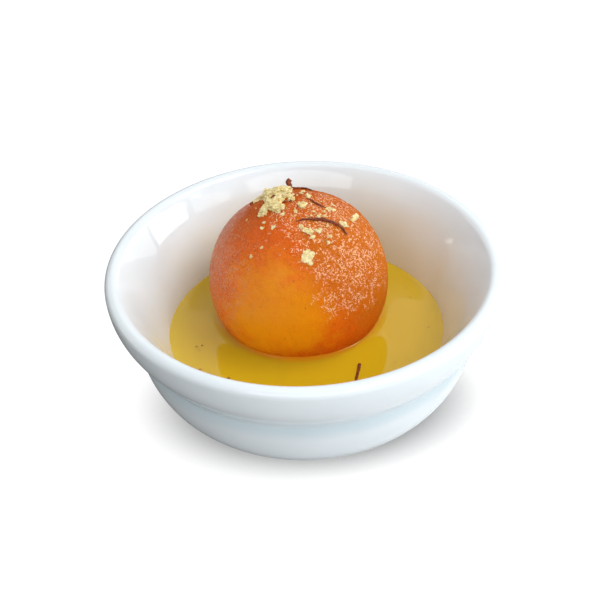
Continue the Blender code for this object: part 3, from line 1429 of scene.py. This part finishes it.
@dataclass
class PistachioTopping:
    """Grated pistachio: a heap at the top left of the ball, clumps and stray crumbs.

    The heap's height is a share of how wide each of its lumps is.
    """

    skin: Skin
    masters: CrumbMasters
    luck: random.Random
    heap: tuple[Clump, ...] = (
        Clump(-4.0, 11.9, 4.4, 3.6, 0.0, 40, 0.95),
        Clump(-6.6, 9.8, 3.2, 3.0, 30.0, 24, 0.90),
        Clump(-3.0, 9.0, 4.4, 3.6, -12.0, 40, 0.95),
        Clump(-5.6, 6.6, 4.8, 4.2, 0.0, 46, 0.95),
        Clump(-2.2, 5.0, 3.6, 2.8, -30.0, 26, 0.85),
        Clump(-5.3, 2.8, 4.6, 4.4, 10.0, 46, 0.95),
        Clump(-4.5, -0.6, 3.6, 3.0, -10.0, 30, 0.90),
        Clump(-6.6, 0.7, 3.0, 2.4, 40.0, 20, 0.90),
        Clump(-8.0, -1.1, 2.9, 2.0, 35.0, 20, 0.85),
        Clump(-4.6, -2.3, 2.3, 0.9, -50.0, 7, 0.65),
        Clump(-0.9, 2.2, 1.9, 1.5, -40.0, 9, 0.70),
        Clump(-9.2, 7.4, 2.6, 1.8, 30.0, 10, 0.70),
    )
    clumps: tuple[Clump, ...] = (
        Clump(1.6, -0.9, 1.8, 1.9, 0.0, 9, 1.15),
        Clump(0.0, -3.0, 0.7, 0.7, 0.0, 3, 0.75),
        Clump(1.7, 6.4, 0.9, 1.6, 0.0, 5, 0.85),
        Clump(3.2, 3.9, 1.9, 0.8, -35.0, 6, 0.90),
        Clump(8.1, -1.1, 2.0, 1.3, 15.0, 8, 0.85),
        Clump(9.2, 1.4, 1.0, 1.0, 20.0, 3, 0.70),
        Clump(6.6, -2.4, 0.9, 0.6, 0.0, 3, 0.65),
        Clump(7.1, -4.0, 0.6, 0.6, 0.0, 2, 0.75),
        Clump(5.6, -4.1, 0.7, 0.9, 0.0, 3, 0.80),
        Clump(4.2, -3.0, 0.5, 0.5, 0.0, 2, 0.70),
        Clump(6.4, 5.6, 0.5, 0.5, 0.0, 2, 0.60),
        Clump(11.4, -4.9, 1.8, 1.4, -15.0, 8, 0.90),
        Clump(14.2, -0.6, 0.5, 4.4, -20.0, 9, 1.00),
        Clump(7.5, -6.8, 0.5, 0.6, 0.0, 2, 0.75),
        Clump(1.0, -7.9, 0.7, 0.7, 0.0, 3, 0.85),
        Clump(2.7, -8.6, 1.6, 1.7, -25.0, 8, 1.15),
        Clump(5.2, -8.6, 1.2, 1.3, 20.0, 5, 1.15),
        Clump(3.8, -10.4, 0.6, 0.5, 0.0, 3, 0.85),
        Clump(7.9, -9.6, 0.3, 1.0, -15.0, 3, 0.75),
        Clump(7.4, -11.0, 0.3, 0.8, -15.0, 2, 0.70),
        Clump(-5.6, -7.1, 1.5, 0.6, 8.0, 5, 0.80),
        Clump(-8.2, -6.3, 0.6, 0.5, 0.0, 2, 0.60),
        Clump(-7.5, -4.8, 0.7, 0.5, 0.0, 2, 0.55),
        Clump(-3.2, -3.8, 0.6, 0.5, 0.0, 3, 0.70),
        Clump(-11.3, -11.8, 0.7, 0.3, 0.0, 2, 0.65),
        Clump(-8.6, -11.2, 0.3, 0.3, 0.0, 1, 0.50),
    )
    strays: int = 46
    heap_height: float = 0.26
    heap_fineness: float = 0.14 * MM
    heap_grain: float = 0.8 * MM
    heap_relief: float = 1.2 * MM

    def lump(self, clump: Clump) -> Piece:
        """One flattened ball of the heap's body, half sunk in the skin.

        Args:
            clump: its place and spread.

        Returns:
            The lump.
        """
        Bench.clear()
        bpy.ops.mesh.primitive_ico_sphere_add(subdivisions=4, radius=0.5, location=(0.0, 0.0, 0.0))
        piece = Bench.named("heap_lump")
        height = 2.0 * self.heap_height * min(clump.length, clump.width)
        size = Vector((clump.length, clump.width, height)) * MM
        piece.data.transform(self.skin.seat(clump.right * MM, clump.back * MM, clump.turn, size))
        return piece

    def heap_body(self) -> Piece:
        """The heap's body: lumps run into one and roughened by the grating's own relief."""
        piece = Bench.join([self.lump(clump) for clump in self.heap], "pistachio_heap")
        merge = piece.modifiers.new("merge", "REMESH")
        merge.mode = "VOXEL"
        merge.voxel_size = self.heap_fineness
        Bench.displace(piece, self.heap_grain, self.heap_relief)
        Bench.apply_modifiers(piece)
        Bench.smooth(piece, 60.0)
        return piece

    def crumb(self, right: float, back: float, size: float, onto: Skin) -> Piece:
        """One crumb, turned and sized by luck, lying on a skin.

        Args:
            right: distance to the right of the ball's middle, in millimetres.
            back: distance behind it, in millimetres.
            size: about how large it is, in millimetres.
            onto: the skin.

        Returns:
            The crumb.
        """
        luck = self.luck
        master = luck.choice(self.masters.masters)
        scale = Vector((luck.uniform(0.8, 1.25), luck.uniform(0.8, 1.25), luck.uniform(0.8, 1.2)))
        lift = 0.20 * MM * size * luck.uniform(0.4, 1.8)
        placing = onto.seat(right * MM, back * MM, luck.uniform(0.0, 360.0), scale * size, lift)
        return Bench.copy(master, placing @ Matrix.Rotation(luck.uniform(-0.5, 0.5), 4, "X"))

    def scatter(self, clump: Clump, onto: Skin) -> list[Piece]:
        """Fill one clump with crumbs.

        Args:
            clump: where they go and how many there are.
            onto: the skin that they lie on.

        Returns:
            The crumbs.
        """
        crumbs = []
        turn = Matrix.Rotation(math.radians(clump.turn), 2)
        for _ in range(clump.grains):
            reach = 0.5 * math.sqrt(self.luck.random())
            angle = self.luck.uniform(0.0, math.tau)
            along = turn @ Vector((clump.length * math.cos(angle), clump.width * math.sin(angle)))
            spot = Vector((clump.right, clump.back)) + along * reach
            size = clump.grain_size * self.luck.uniform(0.6, 1.3)
            crumbs.append(self.crumb(spot.x, spot.y, size, onto))
        return crumbs

    def round_flake(self) -> list[Piece]:
        """The one large flat flake at the front, made of a few run-together flakes.

        Each of its parts has its place from the ball's middle, in millimetres, its turn in
        degrees and its size in masters, which are a millimetre across.

        Returns:
            The flakes.
        """
        parts = (
            (2.5, -14.7, 10.0, Vector((2.5, 2.7, 1.5))),
            (3.3, -14.2, 70.0, Vector((1.5, 1.6, 1.2))),
            (1.7, -15.1, 130.0, Vector((1.4, 1.6, 1.2))),
            (2.2, -13.7, 20.0, Vector((1.4, 1.3, 1.1))),
            (2.9, -15.6, 160.0, Vector((1.2, 1.2, 1.0))),
        )
        masters = [master for master in self.masters.masters if CrumbShape.FLAKE.value in master.name]
        flakes = []
        for (right, back, turn, size), master in zip(parts, cycle(masters)):
            placing = self.skin.seat(right * MM, back * MM, turn, size, 0.10 * MM)
            flakes.append(Bench.copy(master, placing))
        return flakes

    def build(self, finish: NutFinish) -> list[Piece]:
        """Make the heap and everything scattered round it.

        Args:
            finish: the nut.

        Returns:
            The heap and the crumbs.
        """
        nut = finish.make()
        body = self.heap_body()
        heap_skin = HeapSkin(Skin.of([body], self.skin.middle).tree, self.skin.middle, self.skin)
        crumbs: list[Piece] = []
        for clump in self.heap:
            crumbs.extend(self.scatter(clump, heap_skin))
        for clump in self.clumps:
            crumbs.extend(self.scatter(clump, self.skin))
        for _ in range(self.strays):
            right = self.luck.gauss(1.0, 6.5)
            back = self.luck.gauss(-1.0, 6.0)
            crumbs.append(self.crumb(right, back, self.luck.uniform(0.2, 0.5), self.skin))
        crumbs.extend(self.round_flake())
        joined = Bench.join(crumbs, "pistachio_crumbs")
        Bench.smooth(joined, 35.0)
        for piece in (body, joined):
            piece.data.materials.clear()
            piece.data.materials.append(nut)
            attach(piece, BODY)
        return [body, joined]


@dataclass
class SaffronThreads:
    """Saffron threads on the ball, and one floating at the front of the pool.

    The routes are in millimetres: right of the middle, behind it, over the skin or the syrup,
    and the width there. The middle is the ball's on the ball and the bowl's on the syrup. A bit
    has its length and its turn in degrees in place of the last two, and its lift and widths
    stand apart, in millimetres too.
    """

    skin: Skin
    syrup_level: float
    on_ball: tuple[Route, ...] = (
        (
            (0.0, -6.4, 0.05, 0.30),
            (1.9, -5.9, 0.25, 0.62),
            (4.0, -5.7, 0.32, 0.74),
            (6.3, -5.5, 0.34, 0.82),
            (8.2, -5.5, 0.32, 0.72),
            (10.0, -5.8, 0.32, 0.68),
            (11.1, -6.4, 0.28, 0.62),
            (12.1, -7.3, 0.15, 0.52),
        ),
        (
            (-0.9, 12.6, 2.60, 1.15),
            (-1.4, 12.6, 2.00, 1.30),
            (-1.2, 12.5, 1.20, 1.35),
            (-1.0, 12.4, 0.50, 1.05),
            (0.3, 12.4, 0.25, 0.60),
            (2.0, 12.2, 0.22, 0.60),
            (3.5, 10.6, 0.15, 0.50),
            (4.6, 9.2, 0.05, 0.30),
        ),
        (
            (3.0, 2.8, 0.00, 0.30),
            (4.1, 1.4, 0.10, 0.55),
            (5.2, 0.2, 0.12, 0.65),
            (6.4, -0.4, 0.10, 0.55),
            (7.5, -0.7, 0.00, 0.30),
        ),
    )
    on_syrup: Route = (
        (12.6, -16.2, 0.55, 0.80),
        (12.4, -17.2, 0.35, 0.85),
        (12.0, -19.0, 0.20, 0.62),
        (11.4, -21.8, 0.10, 0.66),
        (10.9, -24.3, -0.05, 0.40),
    )
    bits_on_heap: Route = (
        (-5.2, 2.6, 1.30, 30.0),
        (-5.0, 1.9, 1.00, 110.0),
        (-1.1, 1.3, 0.70, 60.0),
        (-2.5, 1.3, 0.75, 10.0),
        (-4.3, 9.6, 0.60, 0.0),
        (-4.8, 6.2, 0.50, 45.0),
        (-10.8, 6.6, 0.90, 20.0),
    )
    bit_lift: float = 0.20
    bit_widths: tuple[float, ...] = (0.35, 0.60, 0.30)
    shrivel_grain: float = 0.55 * MM
    shrivel: float = 0.22 * MM

    def strand(self, name: str, points: list[Vector], widths: Sequence[float]) -> Piece:
        """One thread swept along its points, with its own thickness at each.

        Args:
            name: the thread's name.
            points: from end to end, in metres.
            widths: the thickness at each point, in millimetres.

        Returns:
            The thread.
        """
        Bench.clear()
        bpy.ops.curve.primitive_bezier_curve_add(radius=MM, location=(0.0, 0.0, 0.0))
        piece = Bench.named(name)
        spline = piece.data.splines[0]
        spline.bezier_points.add(len(points) - len(spline.bezier_points))
        for knot, point, width in zip(spline.bezier_points, points, widths):
            knot.co = point
            knot.radius = width
            knot.handle_left_type = "AUTO"
            knot.handle_right_type = "AUTO"
        piece.data.resolution_u = 8
        piece.data.bevel_depth = 0.5 * MM
        piece.data.bevel_resolution = 3
        piece.data.use_fill_caps = True
        Bench.take(piece)
        bpy.ops.object.convert(target="MESH")
        piece = bpy.context.object
        Bench.close(piece)
        return piece

    def build(self, finish: SaffronFinish) -> Piece:
        """Lay every thread and soak it.

        Args:
            finish: the soaked thread.

        Returns:
            The threads, joined.
        """
        threads = []
        for number, route in enumerate(self.on_ball):
            points = [self.over_skin(right, back, lift) for right, back, lift, _ in route]
            threads.append(self.strand(f"saffron_{number}", points, [width for *_, width in route]))
        for right, back, length, turn in self.bits_on_heap:
            angle = math.radians(turn)
            half = 0.5 * length * Vector((math.cos(angle), math.sin(angle)))
            points = [
                self.over_skin(right + half.x * share, back + half.y * share, self.bit_lift)
                for share in (-1.0, 0.0, 1.0)
            ]
            threads.append(self.strand("saffron_bit", points, self.bit_widths))
        threads.append(self.floating_thread())
        piece = Bench.join(threads, "saffron_threads")
        Bench.displace(piece, self.shrivel_grain, self.shrivel, 1)
        Bench.apply_modifiers(piece)
        Bench.smooth(piece, 60.0)
        piece.data.materials.append(finish.make())
        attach(piece, BODY)
        return piece

    def over_skin(self, right: float, back: float, lift: float) -> Vector:
        """A point over the ball or its heap.

        Args:
            right: distance to the right of the ball's middle, in millimetres.
            back: distance behind it, in millimetres.
            lift: how far over the skin it is, in millimetres.

        Returns:
            The point.
        """
        spot, out = self.skin.above(right * MM, back * MM)
        return spot + out * lift * MM

    def floating_thread(self) -> Piece:
        """The thread that floats at the front of the pool, its far end a little raised."""
        points = [
            Vector((right * MM, back * MM, self.syrup_level + lift * MM))
            for right, back, lift, _ in self.on_syrup
        ]
        return self.strand("saffron_floating", points, [width for *_, width in self.on_syrup])


@dataclass
class SyrupSpecks:
    """Crumbs that floated off, half sunk in the syrup: right, back and size in millimetres."""

    masters: CrumbMasters
    luck: random.Random
    syrup_level: float
    sunk: float = 0.10 * MM
    spots: tuple[tuple[float, float, float], ...] = (
        (-25.9, 8.8, 0.8),
        (-26.2, -5.4, 0.7),
        (-27.5, -5.9, 0.9),
        (-26.9, -7.2, 0.7),
        (-19.7, -12.4, 0.6),
        (-17.7, -13.3, 0.7),
        (-7.1, -12.1, 0.5),
        (-26.4, -14.9, 1.0),
        (-19.5, -18.6, 0.9),
        (30.8, -2.0, 0.6),
        (21.4, -15.3, 0.5),
        (27.2, 10.9, 0.6),
        (31.4, 4.6, 0.5),
        (26.4, 14.8, 0.6),
    )

    def build(self, finish: SaffronFinish) -> Piece:
        """Float the crumbs.

        Args:
            finish: the soaked crumbs.

        Returns:
            The crumbs, joined.
        """
        crumbs = []
        for right, back, size in self.spots:
            spot = Vector((right * MM, back * MM, self.syrup_level - self.sunk))
            placing = (
                Matrix.Translation(spot)
                @ Matrix.Rotation(self.luck.uniform(0.0, math.tau), 4, "Z")
                @ Matrix.Diagonal((size, size, size, 1.0))
            )
            crumbs.append(Bench.copy(self.luck.choice(self.masters.masters), placing))
        piece = Bench.join(crumbs, "syrup_specks")
        Bench.smooth(piece, 35.0)
        piece.data.materials.clear()
        piece.data.materials.append(finish.make())
        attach(piece, BODY)
        return piece


# --------------------------------------------------------------------------------------------
# The studio
# --------------------------------------------------------------------------------------------


@dataclass(frozen=True)
class Pane:
    """A soft rectangular light: where it hangs, how wide and tall it is, and how bright."""

    name: str
    azimuth: float
    elevation: float
    width: float
    height: float
    radiance: float
    tint: Colour = WHITE
    distance: float = 1.2

    def spot(self) -> Vector:
        """Its place; azimuth 0 is in front and 90 to the right."""
        azimuth, elevation = math.radians(self.azimuth), math.radians(self.elevation)
        level = math.cos(elevation)
        return self.distance * Vector(
            (level * math.sin(azimuth), -level * math.cos(azimuth), math.sin(elevation))
        )


@dataclass
class Studio:
    """A plain white table, soft panes of light and the camera."""

    rim_radius: float
    rim_height: float
    panes: tuple[Pane, ...] = (
        Pane("window_near", 98.5, 19.0, 0.36, 0.32, 3.6),
        Pane("window_next", 84.5, 22.5, 0.19, 0.30, 3.6),
        Pane("window_far", 78.0, 40.0, 0.34, 0.34, 1.4),
        Pane("side_right", 62.0, 22.0, 0.50, 0.50, 1.6),
        Pane("front_right", 35.0, 40.0, 0.80, 0.60, 0.65, (0.92, 1.0, 1.10)),
        Pane("front_high", 0.0, 33.0, 1.30, 0.50, 2.32),
        Pane("right_high", 75.0, 58.0, 0.80, 0.50, 4.2),
        Pane("top", 0.0, 86.0, 1.00, 0.80, 0.80),
        Pane("right_back", 132.0, 15.0, 0.95, 0.45, 1.9),
        Pane("back", 180.0, 36.0, 0.90, 0.60, 0.70),
        Pane("back_left", 228.0, 24.0, 0.60, 0.30, 1.0),
        Pane("left", 262.0, 5.0, 0.70, 0.18, 3.0, (1.08, 1.0, 0.90)),
        Pane("front_left", 312.0, 32.0, 0.90, 0.60, 0.50),
    )
    table_size: float = 4.0
    bounce_drop: float = 0.05 * MM
    room_light: float = 0.29
    room_tint: Colour = (0.95, 0.98, 1.00)
    white_light: float = 1.0
    elevation: float = 37.06
    roll: float = -2.53
    distance_in_rims: float = 8.0
    aim_right: float = -0.019
    aim_up: float = -0.146
    focal_in_widths: float = 2.65467

    def light(self) -> None:
        """Hang the panes and fill the room with dim light."""
        for pane in self.panes:
            Bench.clear()
            bpy.ops.object.light_add(type="AREA", location=pane.spot())
            lamp = Bench.named(pane.name)
            lamp.data.shape = "RECTANGLE"
            lamp.data.size = pane.width
            lamp.data.size_y = pane.height
            lamp.data.energy = math.pi * pane.width * pane.height * pane.radiance
            lamp.data.color = pane.tint
            lamp.rotation_euler = (-pane.spot()).to_track_quat("-Z", "Y").to_euler()
            lamp.visible_camera = False
        self.room()

    def room(self) -> None:
        """Fill the room with soft light, and show plain white where nothing stands."""
        world = bpy.data.worlds.new("room")
        world.use_nodes = True
        tree = world.node_tree
        soft = tree.nodes["Background"]
        soft.inputs["Color"].default_value = (*self.room_tint, 1.0)
        soft.inputs["Strength"].default_value = self.room_light
        white = tree.nodes.new("ShaderNodeBackground")
        white.inputs["Color"].default_value = (*WHITE, 1.0)
        white.inputs["Strength"].default_value = self.white_light
        seen = tree.nodes.new("ShaderNodeLightPath")
        mix = tree.nodes.new("ShaderNodeMixShader")
        tree.links.new(seen.outputs["Is Camera Ray"], mix.inputs["Fac"])
        tree.links.new(soft.outputs["Background"], mix.inputs[1])
        tree.links.new(white.outputs["Background"], mix.inputs[2])
        tree.links.new(mix.outputs["Shader"], tree.nodes["World Output"].inputs["Surface"])
        bpy.context.scene.world = world

    def table(self, finish: TableFinish) -> None:
        """Lay the white table: one sheet that is seen, and one under it that throws light back.

        Args:
            finish: both sheets' finish.
        """
        Bench.clear()
        bpy.ops.mesh.primitive_plane_add(size=self.table_size, location=(0.0, 0.0, 0.0))
        seen = Bench.named("table")
        seen.data.materials.append(finish.make())
        seen.visible_diffuse = False
        seen.visible_glossy = False
        seen.visible_transmission = False
        seen.visible_shadow = False
        Bench.clear()
        bpy.ops.mesh.primitive_plane_add(size=self.table_size, location=(0.0, 0.0, -self.bounce_drop))
        bounce = Bench.named("table_bounce")
        bounce.data.materials.append(finish.make_bounce())
        bounce.visible_camera = False

    def camera(self) -> None:
        """Set the camera at its place, turned and aimed."""
        elevation, roll = math.radians(self.elevation), math.radians(self.roll)
        back = Vector((0.0, -math.cos(elevation), math.sin(elevation)))
        level = Vector((1.0, 0.0, 0.0))
        rise = back.cross(level)
        right = level * math.cos(roll) + rise * math.sin(roll)
        up = rise * math.cos(roll) - level * math.sin(roll)
        aim = Vector((0.0, 0.0, self.rim_height))
        aim += (right * self.aim_right + up * self.aim_up) * self.rim_radius
        Bench.clear()
        bpy.ops.object.camera_add()
        camera = Bench.named("camera")
        turn = Matrix((right, up, back)).transposed().to_4x4()
        spot = aim + back * self.distance_in_rims * self.rim_radius
        camera.matrix_world = Matrix.Translation(spot) @ turn
        camera.data.sensor_width = 36.0
        camera.data.lens = self.focal_in_widths * camera.data.sensor_width
        camera.data.clip_start = 0.01
        bpy.context.scene.camera = camera
        bpy.context.scene.view_settings.view_transform = "Standard"


def report(piece: Piece) -> None:
    """Log a finished piece and how many faces it has."""
    log.info("%s: %d faces", piece.name, len(piece.data.polygons))


def main() -> None:
    """Build every piece in order, then light and look."""
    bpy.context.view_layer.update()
    bowl_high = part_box("bowl")[1]
    syrup_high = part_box("syrup")[1]
    bowl = Bowl(rim_radius=bowl_high.x, height=bowl_high.z, syrup_level=syrup_high.z)
    ball = Ball()
    luck = random.Random(LUCK_SEED)

    report(bowl.build(GlazeFinish()))
    dough = ball.build(DoughFinish(ball.middle, ball.radius))
    report(dough)
    report(Pool(bowl, ball).build(SyrupFinish(middle=ball.middle)))

    skin = Skin.of([dough], ball.middle)
    masters = CrumbMasters()
    toppings = PistachioTopping(skin, masters, luck).build(NutFinish())
    for piece in toppings:
        report(piece)
    topped = Skin.of([dough, toppings[0]], ball.middle)
    report(SyrupSpecks(masters, luck, bowl.syrup_level).build(SaffronFinish()))
    masters.drop()
    report(SaffronThreads(topped, bowl.syrup_level).build(SaffronFinish()))

    studio = Studio(rim_radius=bowl.rim_radius, rim_height=bowl.height - bowl.lip_radius)
    studio.table(TableFinish())
    studio.light()
    studio.camera()


if __name__ == "__main__":
    main()
